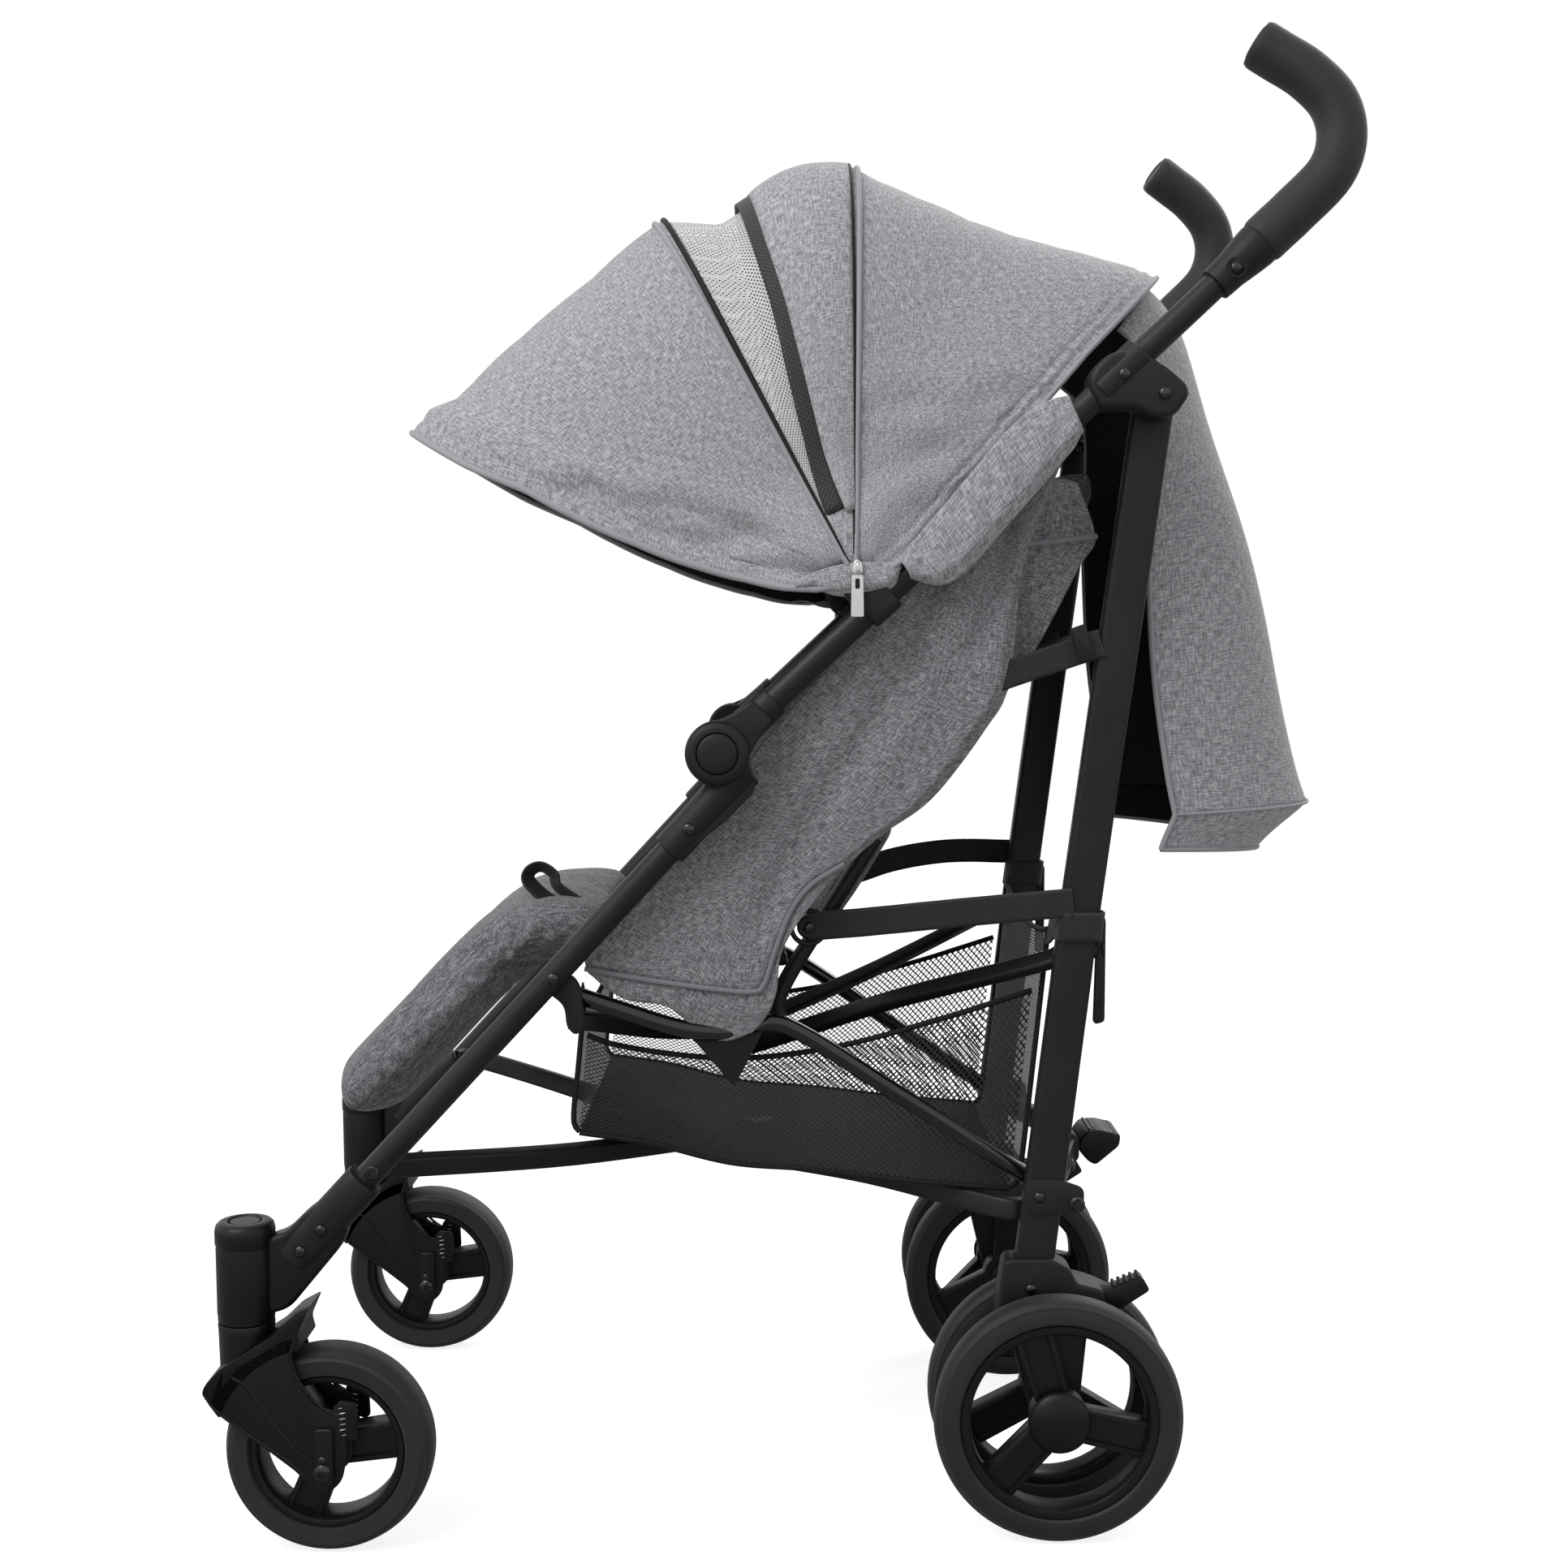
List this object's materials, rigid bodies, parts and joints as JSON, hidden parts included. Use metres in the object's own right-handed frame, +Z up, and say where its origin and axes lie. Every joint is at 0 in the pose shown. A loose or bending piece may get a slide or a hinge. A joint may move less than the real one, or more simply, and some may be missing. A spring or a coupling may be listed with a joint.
{
  "type": "buggy",
  "caption": "Umbrella-fold buggy with slanted frame, swivelling front wheels, twin rear wheels, sling seat, calf pad, hood with rear flap, hooked grips and under-seat basket.",
  "frame": {"origin": "centre of the bounding box on the floor", "axes": "+Z up, +X the buggy's left, -Y the front"},
  "size_m": [0.4516, 0.834, 1.0874],
  "materials": {
    "frame_paint": "matt black powder coat",
    "link_metal": "bright drawn tube",
    "black_plastic": "fine moulded texture",
    "grey_plastic": "smooth moulded",
    "grip_foam": "matt closed-cell foam",
    "tyre_foam": "matt foam tyre on a plastic rim",
    "grey_cloth": "melange woven cloth",
    "pale_mesh": "light see-through mesh",
    "black_mesh": "black net",
    "webbing": "ribbed webbing",
    "cable_jacket": "smooth jacket"
  },
  "bodies": {
    "front_frame": {"front_tube_left": "frame_paint", "front_tube_right": "frame_paint", "elbow_lower_left": "black_plastic", "elbow_lower_right": "black_plastic", "caster_housing_left": "black_plastic", "caster_housing_right": "black_plastic", "brace_bracket_left": "black_plastic", "brace_bracket_right": "black_plastic", "side_panel_left": "grey_cloth", "side_panel_right": "grey_cloth", "seat_pad": "grey_cloth", "calf_pad": "grey_cloth", "basket": "black_mesh"},
    "handle_frame": {"handle_tube_left": "frame_paint", "handle_tube_right": "frame_paint", "elbow_upper_left": "black_plastic", "elbow_upper_right": "black_plastic", "upper_bracket_left": "black_plastic", "upper_bracket_right": "black_plastic", "handle_connector_left": "black_plastic", "handle_connector_right": "black_plastic", "handle_grip_left": "grip_foam", "handle_grip_right": "grip_foam", "canopy_clip_left": "black_plastic", "canopy_clip_right": "black_plastic", "canopy_rear_panel": "grey_cloth", "canopy_rear_flap": "grey_cloth"},
    "canopy_front": {"canopy_bow_front": "black_plastic", "canopy_front_panel": "grey_cloth"},
    "canopy_mid": {"canopy_bow_mid": "black_plastic", "canopy_mesh_window": "pale_mesh"},
    "rear_frame": {"rear_leg_left": "frame_paint", "rear_leg_right": "frame_paint", "rear_foot_left": "black_plastic", "rear_foot_right": "black_plastic", "fold_lock_brace": "frame_paint", "brake_cable": "cable_jacket"},
    "fold_pedal": {"fold_pedal": "black_plastic"},
    "link_tubes": {"link_tube_left": "link_metal", "link_tube_right": "link_metal"},
    "lower_brace": {"lower_brace_upper_bar": "frame_paint", "lower_brace_lower_bar": "frame_paint"},
    "upper_brace": {"upper_brace_upper_bar": "frame_paint", "upper_brace_lower_bar": "frame_paint"},
    "backrest": {"backrest_tube_left": "frame_paint", "backrest_tube_right": "frame_paint", "backrest_pad": "grey_cloth", "recline_strap": "webbing"},
    "caster_fork_left": {"caster_fork_left": "black_plastic"},
    "suspension_left": {"suspension_carrier_left": "grey_plastic"},
    "front_wheel_left": {"front_wheel_left": "tyre_foam"},
    "brake_pedal_left": {"brake_pedal_left": "grey_plastic"},
    "rear_wheel_outer_left": {"rear_wheel_outer_left": "tyre_foam"},
    "rear_wheel_inner_left": {"rear_wheel_inner_left": "tyre_foam"},
    "caster_fork_right": {"caster_fork_right": "black_plastic"},
    "suspension_right": {"suspension_carrier_right": "grey_plastic"},
    "front_wheel_right": {"front_wheel_right": "tyre_foam"},
    "brake_pedal_right": {"brake_pedal_right": "grey_plastic"},
    "rear_wheel_outer_right": {"rear_wheel_outer_right": "tyre_foam"},
    "rear_wheel_inner_right": {"rear_wheel_inner_right": "tyre_foam"}
  },
  "joints": [
    {"name": "frame_fold", "type": "hinge", "parent": "front_frame", "child": "handle_frame", "pos_m": [0, -0.0468, 0.5787], "axis": [1, 0, 0], "range_deg": [0, 75], "deforming": ["side_panel_left", "side_panel_right", "seat_pad", "calf_pad", "basket", "backrest_pad", "recline_strap", "canopy_rear_flap"]},
    {"name": "rear_leg_fold", "type": "hinge", "parent": "handle_frame", "child": "rear_frame", "pos_m": [0, 0.264, 0.829], "axis": [1, 0, 0], "range_deg": [-23.4, 0]},
    {"name": "link_swing", "type": "hinge", "parent": "front_frame", "child": "link_tubes", "pos_m": [0, -0.16, 0.405], "axis": [1, 0, 0], "range_deg": [0, 42.8]},
    {"name": "lower_brace_swing", "type": "hinge", "parent": "front_frame", "child": "lower_brace", "pos_m": [0, -0.289, 0.2755], "axis": [1, 0, 0], "range_deg": [0, 33.5]},
    {"name": "upper_brace_swing", "type": "hinge", "parent": "front_frame", "child": "upper_brace", "pos_m": [0, -0.15, 0.38], "axis": [1, 0, 0], "range_deg": [0, 50]},
    {"name": "backrest_recline", "type": "hinge", "parent": "link_tubes", "child": "backrest", "pos_m": [0, -0.001, 0.3775], "axis": [1, 0, 0], "range_deg": [-25, 0], "deforming": ["recline_strap", "side_panel_left", "side_panel_right", "seat_pad"]},
    {"name": "canopy_fold", "type": "hinge", "parent": "handle_frame", "child": "canopy_front", "pos_m": [0, 0.05, 0.7], "axis": [1, 0, 0], "range_deg": [-80, 0], "deforming": ["canopy_rear_panel", "canopy_mesh_window", "canopy_front_panel"]},
    {"name": "canopy_mid_fold", "type": "hinge", "parent": "handle_frame", "child": "canopy_mid", "pos_m": [0, 0.05, 0.7], "axis": [1, 0, 0], "range_deg": [-40.5, 0]},
    {"name": "fold_pedal_press", "type": "hinge", "parent": "rear_frame", "child": "fold_pedal", "pos_m": [0, 0.244, 0.247], "axis": [1, 0, 0], "range_deg": [-25, 0], "stiffness_Nm_per_rad": 0.5, "springref_deg": 20.05},
    {"name": "caster_swivel_left", "type": "hinge", "parent": "front_frame", "child": "caster_fork_left", "pos_m": [0.2, -0.389, 0.168], "axis": [0, 0, 1], "continuous": true},
    {"name": "suspension_left", "type": "slide", "parent": "caster_fork_left", "child": "suspension_left", "axis": [0, 0, 1], "range_m": [0, 0.004], "stiffness_N_per_m": 12000, "springref_m": -0.004},
    {"name": "front_wheel_spin_left", "type": "hinge", "parent": "suspension_left", "child": "front_wheel_left", "pos_m": [0.2, -0.329, 0.075], "axis": [1, 0, 0], "continuous": true},
    {"name": "rear_wheel_outer_spin_left", "type": "hinge", "parent": "rear_frame", "child": "rear_wheel_outer_left", "pos_m": [0.191, 0.2005, 0.091], "axis": [1, 0, 0], "continuous": true},
    {"name": "rear_wheel_inner_spin_left", "type": "hinge", "parent": "rear_frame", "child": "rear_wheel_inner_left", "pos_m": [0.131, 0.2005, 0.091], "axis": [1, 0, 0], "continuous": true},
    {"name": "brake_pedal_left", "type": "hinge", "parent": "rear_frame", "child": "brake_pedal_left", "pos_m": [0.161, 0.231, 0.171], "axis": [1, 0, 0], "range_deg": [-20, 0]},
    {"name": "caster_swivel_right", "type": "hinge", "parent": "front_frame", "child": "caster_fork_right", "pos_m": [-0.2, -0.389, 0.168], "axis": [0, 0, 1], "continuous": true},
    {"name": "suspension_right", "type": "slide", "parent": "caster_fork_right", "child": "suspension_right", "axis": [0, 0, 1], "range_m": [0, 0.004], "stiffness_N_per_m": 12000, "springref_m": -0.004},
    {"name": "front_wheel_spin_right", "type": "hinge", "parent": "suspension_right", "child": "front_wheel_right", "pos_m": [-0.2, -0.329, 0.075], "axis": [1, 0, 0], "continuous": true},
    {"name": "rear_wheel_outer_spin_right", "type": "hinge", "parent": "rear_frame", "child": "rear_wheel_outer_right", "pos_m": [-0.191, 0.2005, 0.091], "axis": [1, 0, 0], "continuous": true},
    {"name": "rear_wheel_inner_spin_right", "type": "hinge", "parent": "rear_frame", "child": "rear_wheel_inner_right", "pos_m": [-0.131, 0.2005, 0.091], "axis": [1, 0, 0], "continuous": true},
    {"name": "brake_pedal_right", "type": "hinge", "parent": "rear_frame", "child": "brake_pedal_right", "pos_m": [-0.161, 0.231, 0.171], "axis": [1, 0, 0], "range_deg": [-20.5, 0]}
  ],
  "couplings": [
    {"joint": "rear_leg_fold", "follows": "frame_fold", "ratio": -0.306},
    {"joint": "link_swing", "follows": "frame_fold", "ratio": 0.564},
    {"joint": "lower_brace_swing", "follows": "frame_fold", "ratio": 0.44},
    {"joint": "upper_brace_swing", "follows": "frame_fold", "ratio": 0.66},
    {"joint": "canopy_mid_fold", "follows": "canopy_fold", "ratio": 0.5},
    {"joint": "brake_pedal_right", "follows": "brake_pedal_left", "ratio": 1}
  ]
}
